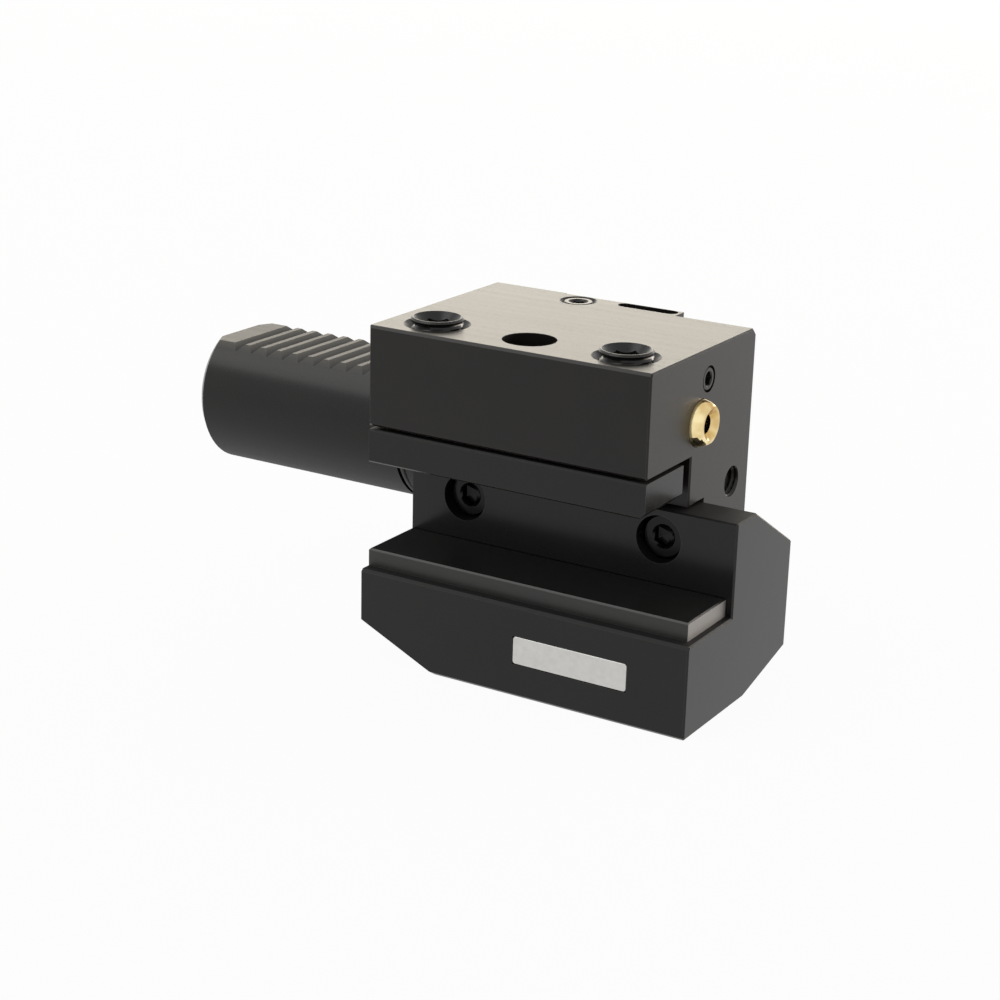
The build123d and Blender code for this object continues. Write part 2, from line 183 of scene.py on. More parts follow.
# The spring: foot, free length, gap at each end, wire and mean radius, turns
SPRING_FOOT = (29.5, -23.3, 11.0)
SPRING_LENGTH = 6.2
SPRING_GAP = 0.03
SPRING_WIRE = 0.4
SPRING_RADIUS = 3.65
SPRING_TURNS = 3.25
SPRING_STEPS = 157
SPRING_WIRE_SIDES = 16

# The blank plate in its seat on the jaw's front
PLATE_MIDDLE = (46.0, -28.7)
PLATE_SIZE = (23.8, 5.4)
PLATE_FACES = (-33.72, -33.98)
PLATE_CORNER = 0.6
PLATE_BEVEL = 0.08
PLATE_CORNER_STEPS = 7

# Grain of ground faces: noise scales along X, Y and Z for fine and broad lines, and the broad ones' share
FINE_LINES = (60.0, 4200.0, 4200.0)
BROAD_LINES = (25.0, 700.0, 700.0)
BROAD_SHARE = 0.6

# Oxide: noise scales of its clouds and specks, and the specks' contrast and cut
CLOUD_SCALE = 70.0
SPECK_SCALE = 1500.0
SPECK_CONTRAST = 4.0
SPECK_CUT = -2.2
# Edges rubbed paler, with a painted highlight on them: the bevel's radius in metres, its samples, and the
# strength of the mask
EDGE_MASK_RADIUS = 0.0003
EDGE_MASK_SAMPLES = 4
EDGE_MASK_STRENGTH = 3.5
# What the grain's tone and the specks add to the oxide's roughness
TONE_ROUGHNESS = 0.06
SPECK_ROUGHNESS = 0.06
# A face counts as facing up or down by its normal's Z times this
FACING_GAIN = 1.2

# The shank's teeth: where they end along X, in metres, and the slope and offset of the mask's ramp in Z
TEETH_END = -0.0132
TEETH_RAMP = (900.0, -9.6)
# Teeth paler from the wedge's rubbing and from a painted highlight of their lit flanks: their colour and its
# share
TEETH_COLOUR = (0.17, 0.165, 0.148)
TEETH_SHARE = 0.5
# What the teeth, the shank and its underside add to the roughness
TEETH_ROUGHNESS = 0.26
SHANK_ROUGHNESS = -0.08
UNDER_ROUGHNESS = 0.32
# How much painted shade darkens the shank's underside, and a face that points up
UNDER_SHADE_SHARE = 0.6
TOP_SHADE_SHARE = 0.75
# A face at the near end of a piece with painted lit ends lies below this X, in metres
NEAR_END = 0.00005

# Brass: its two colours, and the noise scales, contrast and cut of its patches
BRASS_DULL = (0.50, 0.29, 0.06)
BRASS_CLEAN = (0.95, 0.80, 0.45)
PATCH_SCALE = 230.0
PATCH_CONTRAST = 3.2
PATCH_CUT = -1.1
# The stain's noise scale, what it adds to the brass's own roughness, and the tool lines' scale and depth
STAIN_SCALE = 400.0
STAIN_ROUGHNESS = 0.12
BRASS_ROUGHNESS = 0.03
TOOL_LINES = 5000.0
TOOL_LINE_DEPTH = 0.000004

# Bare steel: noise scale of its tone, how dark the tone's low end is, what the tone adds to the roughness,
# and the scale of its grain
STEEL_TONE_SCALE = 900.0
STEEL_DARKER = 0.8
STEEL_TONE_ROUGHNESS = 0.1
STEEL_LINE_SCALE = 1.5

# Rubber: noise scale of its bloom, the colours without and with it, and the bloom's roughness and the rest
BLOOM_SCALE = 600.0
RUBBER_DARK = (0.012, 0.012, 0.012)
RUBBER_BLOOM = (0.035, 0.033, 0.030)
BLOOM_ROUGHNESS = 0.2
RUBBER_ROUGHNESS = 0.45

# Paper: noise scale, colours and roughness
PAPER_SCALE = 40.0
PAPER_DARK = (0.78, 0.78, 0.78)
PAPER_PALE = (0.82, 0.82, 0.82)
PAPER_ROUGHNESS = 0.9


def link(tree, source, target):
    """Joins two sockets of a node tree."""
    tree.links.new(source, target)


def math_node(tree, operation, first, second=None, third=None, clamp=False):
    """A Math node whose inputs are sockets or plain numbers; gives its output socket."""
    node = tree.nodes.new("ShaderNodeMath")
    node.operation = operation
    node.use_clamp = clamp
    for slot, value in enumerate((first, second, third)):
        if value is None:
            continue
        if isinstance(value, (int, float)):
            node.inputs[slot].default_value = value
        else:
            link(tree, value, node.inputs[slot])
    return node.outputs[0]


def mix_colours(tree, factor, first, second):
    """A colour Mix node whose inputs are sockets or plain colours; gives its output socket."""
    node = tree.nodes.new("ShaderNodeMix")
    node.data_type = "RGBA"
    for slot, value in ((0, factor), (6, first), (7, second)):
        if isinstance(value, (int, float)):
            node.inputs[slot].default_value = value
        elif isinstance(value, tuple):
            node.inputs[slot].default_value = (*value, 1.0)
        else:
            link(tree, value, node.inputs[slot])
    return node.outputs[2]


def new_group(name, inputs, outputs):
    """An empty shader node group with named sockets; gives the tree and its two end nodes."""
    tree = bpy.data.node_groups.new(name, "ShaderNodeTree")
    for label, kind, value in inputs:
        socket = tree.interface.new_socket(label, in_out="INPUT", socket_type="NodeSocket" + kind)
        if value is not None:
            socket.default_value = value
    for label, kind in outputs:
        tree.interface.new_socket(label, in_out="OUTPUT", socket_type="NodeSocket" + kind)
    return tree, tree.nodes.new("NodeGroupInput"), tree.nodes.new("NodeGroupOutput")


def noise(tree, coordinates, scale, detail=3.0, roughness=0.5):
    """A Noise texture in three dimensions; gives its value, near 0.5 on average."""
    node = tree.nodes.new("ShaderNodeTexNoise")
    node.inputs["Scale"].default_value = scale
    node.inputs["Detail"].default_value = detail
    node.inputs["Roughness"].default_value = roughness
    link(tree, coordinates, node.inputs["Vector"])
    return node.outputs["Fac"]


def stretched(tree, coordinates, scale):
    """The coordinates, each multiplied by its own factor, so that a noise becomes lines."""
    node = tree.nodes.new("ShaderNodeVectorMath")
    node.operation = "MULTIPLY"
    link(tree, coordinates, node.inputs[0])
    node.inputs[1].default_value = scale
    return node.outputs[0]


def ground_grain_group():
    """Fine lines of a ground or milled face, all along X, with a wider waviness under them."""
    tree, start, end = new_group(
        "ground_grain",
        [("Coordinates", "Vector", None), ("Line Scale", "Float", 1.0)],
        [("Height", "Float"), ("Tone", "Float")])
    scaled = tree.nodes.new("ShaderNodeVectorMath")
    scaled.operation = "SCALE"
    link(tree, start.outputs["Coordinates"], scaled.inputs[0])
    link(tree, start.outputs["Line Scale"], scaled.inputs["Scale"])
    fine = noise(tree, stretched(tree, scaled.outputs[0], FINE_LINES), 1.0, 2.0)
    broad = noise(tree, stretched(tree, scaled.outputs[0], BROAD_LINES), 1.0, 2.0)
    height = math_node(tree, "MULTIPLY_ADD", broad, BROAD_SHARE, fine)
    link(tree, height, end.inputs["Height"])
    link(tree, broad, end.inputs["Tone"])
    return tree


def oxide_cloud_group():
    """The uneven depth of the black oxide: soft clouds with small specks in them."""
    tree, start, end = new_group(
        "oxide_cloud", [("Coordinates", "Vector", None)], [("Cloud", "Float"), ("Specks", "Float")])
    cloud = noise(tree, start.outputs["Coordinates"], CLOUD_SCALE, 4.0, 0.55)
    speck = noise(tree, start.outputs["Coordinates"], SPECK_SCALE, 2.0, 0.6)
    specks = math_node(tree, "MULTIPLY_ADD", speck, SPECK_CONTRAST, SPECK_CUT, clamp=True)
    link(tree, cloud, end.inputs["Cloud"])
    link(tree, specks, end.inputs["Specks"])
    return tree


def edge_wear_and_highlight_group():
    """How near a point is to a sharp edge, where it is rubbed paler and a highlight is painted: one less the
    agreement of the rounded and true normals.
    """
    tree, start, end = new_group("edge_wear_and_highlight", [("Radius", "Float", EDGE_MASK_RADIUS)], [("Wear and highlight", "Float")])
    bevel = tree.nodes.new("ShaderNodeBevel")
    bevel.samples = EDGE_MASK_SAMPLES
    link(tree, start.outputs["Radius"], bevel.inputs["Radius"])
    geometry = tree.nodes.new("ShaderNodeNewGeometry")
    dot = tree.nodes.new("ShaderNodeVectorMath")
    dot.operation = "DOT_PRODUCT"
    link(tree, bevel.outputs[0], dot.inputs[0])
    link(tree, geometry.outputs["Normal"], dot.inputs[1])
    apart = math_node(tree, "SUBTRACT", 1.0, dot.outputs["Value"])
    link(tree, math_node(tree, "MULTIPLY", apart, EDGE_MASK_STRENGTH, clamp=True), end.inputs["Wear and highlight"])
    return tree


def teeth_and_shank_group():
    """Two masks: the teeth, from their foot upwards, where the turret's wedge rubs and a highlight of their
    lit flanks is painted, and the whole shank.
    """
    tree, start, end = new_group(
        "teeth_rubbed_and_lit", [("Coordinates", "Vector", None)], [("Teeth", "Float"), ("Shank", "Float")])
    split = tree.nodes.new("ShaderNodeSeparateXYZ")
    link(tree, start.outputs["Coordinates"], split.inputs[0])
    behind = math_node(tree, "LESS_THAN", split.outputs["X"], 0.0)
    high = math_node(tree, "MULTIPLY_ADD", split.outputs["Z"], *TEETH_RAMP, clamp=True)
    back = math_node(tree, "LESS_THAN", split.outputs["X"], TEETH_END)
    link(tree, math_node(tree, "MULTIPLY", back, high), end.inputs["Teeth"])
    link(tree, behind, end.inputs["Shank"])
    return tree


GRAIN = ground_grain_group()
CLOUD = oxide_cloud_group()
EDGE_WEAR_AND_HIGHLIGHT = edge_wear_and_highlight_group()
TEETH = teeth_and_shank_group()


def place_group(tree, group, coordinates=None, **values):
    """A node that uses a group, with its input values set."""
    node = tree.nodes.new("ShaderNodeGroup")
    node.node_tree = group
    for label, value in values.items():
        node.inputs[label.replace("_", " ")].default_value = value
    if coordinates is not None:
        link(tree, coordinates, node.inputs["Coordinates"])
    return node


def new_material(name):
    """A material with one Principled BSDF; gives it, its tree, the shader and the Object coordinates."""
    material = bpy.data.materials.new(name)
    material.use_nodes = True
    tree = material.node_tree
    shader = tree.nodes["Principled BSDF"]
    coordinates = tree.nodes.new("ShaderNodeTexCoord").outputs["Object"]
    return material, tree, shader, coordinates


def bump(tree, shader, height, distance, strength=1.0):
    """Feeds a height into the shader's normal."""
    node = tree.nodes.new("ShaderNodeBump")
    node.inputs["Distance"].default_value = distance
    node.inputs["Strength"].default_value = strength
    link(tree, height, node.inputs["Height"])
    link(tree, node.outputs["Normal"], shader.inputs["Normal"])


def facing(tree, direction):
    """How far a face points along Z, up for 1 and down for -1, from nought to one."""
    split = tree.nodes.new("ShaderNodeSeparateXYZ")
    link(tree, tree.nodes.new("ShaderNodeTexCoord").outputs["Normal"], split.inputs[0])
    return math_node(tree, "MULTIPLY", split.outputs["Z"], direction * FACING_GAIN, clamp=True)


def black_oxide(name, dark, pale, worn_and_highlight, roughness, grain_depth, line_scale=1.0, toothed=False, ior=1.36,
                painted_lit_ends=None, painted_shade_tops=None):
    """Blackened steel: clouded dark colour, ground grain, and edges rubbed paler with a painted highlight on
    them.

    Painted lit ends are a place along X and a colour: past that place and at the near end the colour is
    paler, a painted highlight of lit end faces. Painted shade tops are what a face that points up adds to the
    roughness, with painted shade darkening it. A toothed piece has teeth paler from rubbing and a painted
    highlight, a smoother shank, and painted shade darkening the shank's underside."""
    material, tree, shader, coordinates = new_material(name)
    cloud = place_group(tree, CLOUD, coordinates)
    grain = place_group(tree, GRAIN, coordinates, Line_Scale=line_scale)
    edge_mask = place_group(tree, EDGE_WEAR_AND_HIGHLIGHT)
    colour = mix_colours(tree, cloud.outputs["Cloud"], dark, pale)
    # Edges paler: rubbed steel, and a painted highlight on them
    paler_edges = math_node(tree, "MULTIPLY", edge_mask.outputs["Wear and highlight"], cloud.outputs["Cloud"])
    colour = mix_colours(tree, paler_edges, colour, worn_and_highlight)
    smoothest = roughness - TONE_ROUGHNESS / 2
    rough = math_node(tree, "MULTIPLY_ADD", grain.outputs["Tone"], TONE_ROUGHNESS, smoothest)
    rough = math_node(tree, "MULTIPLY_ADD", cloud.outputs["Specks"], SPECK_ROUGHNESS, rough)
    if toothed:
        # Teeth paler: rubbed by the wedge, and a painted highlight of their lit flanks
        teeth = place_group(tree, TEETH, coordinates)
        share = math_node(tree, "MULTIPLY", teeth.outputs["Teeth"], TEETH_SHARE)
        colour = mix_colours(tree, share, colour, TEETH_COLOUR)
        rough = math_node(tree, "MULTIPLY_ADD", teeth.outputs["Shank"], SHANK_ROUGHNESS, rough)
        rough = math_node(tree, "MULTIPLY_ADD", teeth.outputs["Teeth"], TEETH_ROUGHNESS, rough)
        # Painted shade: the shank's underside is darker
        under = math_node(tree, "MULTIPLY", teeth.outputs["Shank"], facing(tree, -1))
        colour = mix_colours(tree, math_node(tree, "MULTIPLY", under, UNDER_SHADE_SHARE), colour, OXIDE_PAINTED_SHADE)
        rough = math_node(tree, "MULTIPLY_ADD", under, UNDER_ROUGHNESS, rough)
    # Painted shade: a face that points up is darker
    if painted_shade_tops is not None:
        top = facing(tree, 1)
        colour = mix_colours(tree, math_node(tree, "MULTIPLY", top, TOP_SHADE_SHARE), colour, OXIDE_PAINTED_SHADE)
        rough = math_node(tree, "MULTIPLY_ADD", top, painted_shade_tops, rough)
    # Painted highlight: end faces are paler, as if lit
    if painted_lit_ends:
        split = tree.nodes.new("ShaderNodeSeparateXYZ")
        link(tree, coordinates, split.inputs[0])
        far = math_node(tree, "GREATER_THAN", split.outputs["X"], painted_lit_ends[0])
        near = math_node(tree, "LESS_THAN", split.outputs["X"], NEAR_END)
        colour = mix_colours(tree, math_node(tree, "MAXIMUM", far, near), colour, painted_lit_ends[1])
    link(tree, colour, shader.inputs["Base Color"])
    link(tree, rough, shader.inputs["Roughness"])
    shader.inputs["IOR"].default_value = ior
    bump(tree, shader, grain.outputs["Height"], grain_depth)
    return material


def brass(name):
    """Turned brass with fine rings of the tool about the nozzle's axis, dull patches and a slight stain."""
    material, tree, shader, coordinates = new_material(name)
    stain = noise(tree, coordinates, STAIN_SCALE)
    clouds = noise(tree, coordinates, PATCH_SCALE, 2.0)
    patches = math_node(tree, "MULTIPLY_ADD", clouds, PATCH_CONTRAST, PATCH_CUT, clamp=True)
    link(tree, mix_colours(tree, patches, BRASS_DULL, BRASS_CLEAN), shader.inputs["Base Color"])
    shader.inputs["Metallic"].default_value = 1.0
    rough = math_node(tree, "MULTIPLY_ADD", stain, STAIN_ROUGHNESS, BRASS_ROUGHNESS)
    link(tree, rough, shader.inputs["Roughness"])
    centred = tree.nodes.new("ShaderNodeVectorMath")
    centred.operation = "SUBTRACT"
    link(tree, coordinates, centred.inputs[0])
    centred.inputs[1].default_value = tuple(part * MM for part in NOZZLE_CENTRE)
    radial = tree.nodes.new("ShaderNodeVectorMath")
    radial.operation = "LENGTH"
    link(tree, stretched(tree, centred.outputs[0], (0.0, TOOL_LINES, TOOL_LINES)), radial.inputs[0])
    along = tree.nodes.new("ShaderNodeSeparateXYZ")
    link(tree, stretched(tree, centred.outputs[0], (TOOL_LINES, 0.0, 0.0)), along.inputs[0])
    rings = tree.nodes.new("ShaderNodeCombineXYZ")
    link(tree, radial.outputs["Value"], rings.inputs["X"])
    link(tree, along.outputs["X"], rings.inputs["Y"])
    bump(tree, shader, noise(tree, rings.outputs[0], 1.0), TOOL_LINE_DEPTH)
    return material


def bright_steel(name, colour, roughness, grain_depth=0.0):
    """Drawn or ground bare steel, with lines along X where it has a grain."""
    material, tree, shader, coordinates = new_material(name)
    tone = noise(tree, coordinates, STEEL_TONE_SCALE, 2.0)
    darker = tuple(value * STEEL_DARKER for value in colour)
    link(tree, mix_colours(tree, tone, darker, colour), shader.inputs["Base Color"])
    shader.inputs["Metallic"].default_value = 1.0
    rough = math_node(tree, "MULTIPLY_ADD", tone, STEEL_TONE_ROUGHNESS, roughness)
    link(tree, rough, shader.inputs["Roughness"])
    if grain_depth:
        grain = place_group(tree, GRAIN, coordinates, Line_Scale=STEEL_LINE_SCALE)
        bump(tree, shader, grain.outputs["Height"], grain_depth)
    return material


def black_rubber(name):
    """Sealing rubber with a faint bloom."""
    material, tree, shader, coordinates = new_material(name)
    bloom = noise(tree, coordinates, BLOOM_SCALE, 4.0)
    link(tree, mix_colours(tree, bloom, RUBBER_DARK, RUBBER_BLOOM), shader.inputs["Base Color"])
    rough = math_node(tree, "MULTIPLY_ADD", bloom, BLOOM_ROUGHNESS, RUBBER_ROUGHNESS)
    link(tree, rough, shader.inputs["Roughness"])
    return material


OXIDE_DARK = (0.006, 0.006, 0.006)
OXIDE_PALE = (0.0145, 0.0125, 0.0108)
# Paler edges: rubbed steel with a painted highlight on them
OXIDE_WORN_AND_HIGHLIGHT = (0.11, 0.105, 0.09)
# Near black, for painted shade
OXIDE_PAINTED_SHADE = (0.003, 0.003, 0.003)
MATERIALS = {
    # The holder: painted shade darkens the shank's underside, and its teeth carry a painted highlight
    "black_oxide_steel": black_oxide(
        "black_oxide_steel", OXIDE_DARK, OXIDE_PALE, OXIDE_WORN_AND_HIGHLIGHT, roughness=0.33, grain_depth=0.0000025,
        toothed=True),
    "black_screw_steel": black_oxide(
        "black_screw_steel", dark=(0.008, 0.008, 0.008), pale=(0.016, 0.016, 0.015), worn_and_highlight=(0.16, 0.15, 0.13),
        roughness=0.28, grain_depth=0.000002, line_scale=1.6),
    "bright_steel": bright_steel("bright_steel", (0.55, 0.55, 0.54), roughness=0.25),
    "spring_steel": bright_steel("spring_steel", (0.35, 0.35, 0.36), roughness=0.3),
    "brass": brass("brass"),
    "rubber": black_rubber("rubber"),
}
# Jaw and clamp bar: painted shade darkens faces that point up
JAW_OXIDE = black_oxide(
    "jaw_oxide", OXIDE_DARK, pale=(0.0125, 0.0122, 0.0115), worn_and_highlight=OXIDE_WORN_AND_HIGHLIGHT, roughness=0.22,
    grain_depth=0.0000012, painted_shade_tops=0.42)
# Strip: painted shade on its top, and a painted highlight on its end faces
STRIP_OXIDE = black_oxide(
    "strip_oxide", dark=(0.022, 0.022, 0.021), pale=(0.034, 0.033, 0.031), worn_and_highlight=OXIDE_WORN_AND_HIGHLIGHT, roughness=0.38,
    grain_depth=0.000002, ior=1.45, painted_lit_ends=(0.06845, (0.26, 0.25, 0.24)), painted_shade_tops=-0.08)
# Screws sunk in counterbores: near black, a painted shade of their recess
RECESS_SHADE_SCREW = black_oxide(
    "recess_shade_screw", dark=OXIDE_PAINTED_SHADE, pale=(0.006, 0.006, 0.006), worn_and_highlight=(0.05, 0.05, 0.05), roughness=0.2,
    grain_depth=0.000001, line_scale=1.6, ior=1.3)
PLATE_METAL = bright_steel("plate_metal", (0.62, 0.61, 0.59), roughness=0.3, grain_depth=0.000006)
NODE_MATERIALS = {"lower_jaw": JAW_OXIDE, "support_strip": STRIP_OXIDE, "clamp_bar": JAW_OXIDE}


def dress_cad_nodes():
    """Gives each CAD node its own finish, or else the one of its slot in the record."""
    for entry in frame["record"]["subparts"]:
        node = frame["nodes"][entry["node"]]
        for slot in node.material_slots:
            slot.material = NODE_MATERIALS.get(entry["node"], MATERIALS[entry["material_slot"]])


def new_piece(name, points, faces, material, sharp_degrees=35.0):
    """A mesh object from points in metres, with smooth faces between its sharp edges."""
    mesh = bpy.data.meshes.new(name)
    mesh.from_pydata(points.tolist(), [], faces)
    mesh.materials.append(material)
    mesh.shade_smooth()
    mesh.set_sharp_from_angle(angle=math.radians(sharp_degrees))
    piece = bpy.data.objects.new(name, mesh)
    bpy.context.scene.collection.objects.link(piece)
    return piece


def turned(points, place, axis):
    """Points of a piece drawn along its own Z, moved so that this Z is the axis and its zero the place.

    The result is in metres: the place plus the rotation that takes +Z to the axis, times each point."""
    turn = np.array(Vector((0, 0, 1)).rotation_difference(Vector(axis)).to_matrix())
    return (points @ turn.T + np.array(place)) * MM


def around(sides):
    """The angles of one turn, without its end."""
    return np.linspace(0, 2 * math.pi, sides, endpoint=False)


def ring_points(radius, height, angles):
    """A closed curve about Z: the radius times cosine and sine of the angle, at a height."""
    radius, height = np.broadcast_arrays(radius, height, angles)[:2]
    return np.stack([radius * np.cos(angles), radius * np.sin(angles), height], axis=-1)


def band_faces(rows, sides, wrap=False):
    """Quads between neighbouring rings of a grid, and between the last and the first where it wraps."""
    column = np.arange(sides)
    start = np.arange(rows if wrap else rows - 1)[:, None] * sides
    above = (start + sides) % (rows * sides)
    following = (column + 1) % sides
    quads = np.stack([start + column, start + following, above + following, above + column], axis=-1)
    return quads.reshape(-1, 4)


def capped_skin(rows, first_height, last_height):
    """A closed skin of rings about Z, with a fan of triangles to a point on the axis at each end."""
    count, sides = rows.shape[:2]
    tips = np.array([[0.0, 0.0, first_height], [0.0, 0.0, last_height]])
    points = np.concatenate([rows.reshape(-1, 3), tips])
    column = np.arange(sides)
    following = (column + 1) % sides
    tip = np.full(sides, count * sides)
    last = (count - 1) * sides
    first_fan = np.stack([tip, following, column], axis=-1)
    last_fan = np.stack([tip + 1, last + column, last + following], axis=-1)
    return points, band_faces(count, sides).tolist() + first_fan.tolist() + last_fan.tolist()


def hexagon(across, angles):
    """The radius of a hexagon: half its width over the cosine of the angle from the nearest flat's middle."""
    sixth = math.pi / 3
    return across / 2 / np.cos((angles + sixth / 2) % sixth - sixth / 2)


def thread_radius(radius, pitch, depth, height, angles, first, last):
    """A right-hand thread's radius at a height and angle.

    The phase is the height over the pitch less the share of the turn. The radius falls from the crest to the
    root and back as a triangle wave of the phase, cut flat at the root, and the depth fades out over a share
    of a pitch at the thread's first and last heights."""
    phase = (height / pitch - angles / (2 * math.pi)) % 1.0
    wave = np.clip(np.abs(phase - 0.5) * THREAD_SLOPE - THREAD_ROOT, 0.0, 1.0)
    fade = np.clip(np.minimum(first - height, height - last) / (THREAD_FADE * pitch), 0.0, 1.0)
    return radius - depth * fade * (1.0 - wave)


def thread_rows(radius, first, last, angles):
    """The rings of a threaded length, from its first height down to its last."""
    pitch, depth = THREADS[radius]
    heights = np.linspace(first, last, max(3, int((first - last) / pitch * THREAD_STEPS)))[:, None]
    return ring_points(thread_radius(radius, pitch, depth, heights, angles, first, last), heights, angles)


def socket_rows(across, depth, mouth, angles):
    """The rings of a hexagon socket, from its floor up to a mouth whose 45 degree cone meets the flats."""
    side = hexagon(across, angles)
    return [ring_points(side * SOCKET_FLOOR, -depth, angles), ring_points(side, -depth + SOCKET_STEP, angles),
            ring_points(side, side - mouth, angles), ring_points(mouth, 0.0, angles)]


def set_screw(radius, length, chamfer, across, depth, mouth):
    """A headless screw along its own Z: socket, chamfered face, thread and a cupped point."""
    angles = around(SCREW_SIDES)
    rows = socket_rows(across, depth, mouth, angles)
    rows += [ring_points(radius - chamfer, 0.0, angles), ring_points(radius - THREAD_START, -chamfer, angles)]
    rows += list(thread_rows(radius, -chamfer - THREAD_START, -length + chamfer, angles))
    rows += [ring_points(radius * share, -length, angles) for share in (CUP_OUTER, CUP_INNER)]
    return capped_skin(np.array(rows), -depth - across * DRILL_POINT, -length + radius * CUP_DEPTH)


def cap_screw(head_radius, head_height, radius, length, across):
    """A cap screw along its own Z: socket, knurled head, thread and a chamfered point.

    The knurl lowers the head's radius by its depth times the square of the sine of half the angle times the
    number of grooves."""
    angles = around(HEAD_SIDES)
    knurl = head_radius - KNURL_DEPTH * np.sin(angles * KNURL_GROOVES / 2) ** 2
    band = head_radius - BAND_INSET
    foot = -head_height
    end = foot - length
    socket_depth = head_height * CAP_SOCKET_SHARE
    profile = [(head_radius - HEAD_BEVEL, 0.0), (band, -HEAD_BEVEL * HEAD_BEVEL_FALL),
               (knurl, -HEAD_BEVEL - KNURL_START), (knurl, foot + KNURL_END), (band, foot + BAND_HEIGHT),
               (head_radius - FOOT_BEVEL, foot), (radius, foot), (radius, foot - NECK)]
    rows = socket_rows(across, socket_depth, across / math.sqrt(3.0) + CAP_MOUTH_EXTRA, angles)
    rows += [ring_points(reach, height, angles) for reach, height in profile]
    rows += list(thread_rows(radius, foot - NECK - THREAD_START, end + POINT_HEIGHT, angles))
    rows += [ring_points(radius * POINT_SHARE, end, angles)]
    return capped_skin(np.array(rows), -socket_depth - across * DRILL_POINT, end)


def hole_thread(hole_radius, radius, length):
    """The thread that shows in a hole's mouth: a sleeve in the wall, whose inside is cut by the thread.

    The inside radius is the hole's, less a little, less the thread's depth times a triangle wave that fades
    out at both ends. thread_radius gives minus that wave, for a radius of nought and a depth of one."""
    angles = around(SCREW_SIDES)
    pitch, depth = THREADS[radius]
    heights = np.linspace(0.0, -length, int(length / pitch * THREAD_STEPS * 2))[:, None]
    cut = thread_radius(0.0, pitch, 1.0, heights, angles, 0.0, -length)
    inside = ring_points(hole_radius - SLEEVE_STAND + cut * depth * SLEEVE_DEPTH_SHARE, heights, angles)
    wall = hole_radius + SLEEVE_SINK
    outside = [ring_points(wall, -length, angles), ring_points(wall, 0.0, angles)]
    rows = np.concatenate([inside, outside])
    return rows.reshape(-1, 3), band_faces(len(rows), SCREW_SIDES, wrap=True)[:, ::-1].tolist()


def ring_seal(mean_radius, wire):
    """A torus about Z: the radius is the mean radius plus the wire's radius times a cosine."""
    angles = around(RING_SIDES)
    section = around(RING_WIRE_SIDES)[:, None]
    rows = ring_points(mean_radius + wire * np.cos(section), wire * np.sin(section), angles)
    return rows.reshape(-1, 3), band_faces(RING_WIRE_SIDES, RING_SIDES, wrap=True)[:, ::-1].tolist()


def nozzle_ball():
    """A ball about Z with flat ends and a hole: its profile turned round, and closed along the hole.

    The ball's points lie at its radius times the sine and the cosine of an angle from Z, which runs from the
    rear flat to the front flat. The hole opens to the front in a 45 degree cone."""
    angles = around(BALL_SIDES)
    arc = np.linspace(math.acos(-BALL_REAR / BALL_RADIUS), math.acos(BALL_FRONT / BALL_RADIUS), BALL_STEPS)
    cone = NOZZLE_MOUTH - NOZZLE_HOLE
    rim = BALL_RADIUS * math.sin(arc[-1])
    profile = list(zip(BALL_RADIUS * np.sin(arc[:-1]), BALL_RADIUS * np.cos(arc[:-1])))
    profile += [(rim + RIM_SWELL, BALL_FRONT - RIM_BREAK), (rim - RIM_BREAK, BALL_FRONT),
                (NOZZLE_MOUTH + MOUTH_BREAK, BALL_FRONT), (NOZZLE_MOUTH, BALL_FRONT - MOUTH_BREAK),
                (NOZZLE_HOLE, BALL_FRONT - cone), (NOZZLE_HOLE, -BALL_REAR + REAR_BREAK),
                (NOZZLE_HOLE + REAR_BREAK, -BALL_REAR)]
    radii, heights = np.array(profile).T[:, :, None]
    rows = ring_points(radii, heights, angles)
    return rows.reshape(-1, 3), band_faces(len(rows), BALL_SIDES, wrap=True).tolist()


def blank_plate():
    """The bare plate: a rounded rectangle from its back face to its front face, with a small bevel in front.

    A corner's points lie on a quarter circle about the corner's centre."""
    quarter = np.linspace(0.0, math.pi / 2, PLATE_CORNER_STEPS)
    angles = np.concatenate([quarter + turn * math.pi / 2 for turn in range(4)])
    side_x = np.repeat([1, -1, -1, 1], PLATE_CORNER_STEPS) * (PLATE_SIZE[0] / 2 - PLATE_CORNER)
    side_z = np.repeat([1, 1, -1, -1], PLATE_CORNER_STEPS) * (PLATE_SIZE[1] / 2 - PLATE_CORNER)
    back, front = PLATE_FACES
    rows = []
    for inset, depth in ((0.0, back), (0.0, front + PLATE_BEVEL), (PLATE_BEVEL, front)):
        reach = PLATE_CORNER - inset
        rows.append(np.stack([PLATE_MIDDLE[0] + side_x + reach * np.cos(angles), np.full_like(angles, depth),
                              PLATE_MIDDLE[1] + side_z + reach * np.sin(angles)], axis=-1))
    count = len(angles)
    faces = band_faces(3, count)[:, ::-1].tolist()
    faces += [list(range(count)), list(range(3 * count - 1, 2 * count - 1, -1))]
    return np.concatenate(rows) * MM, faces


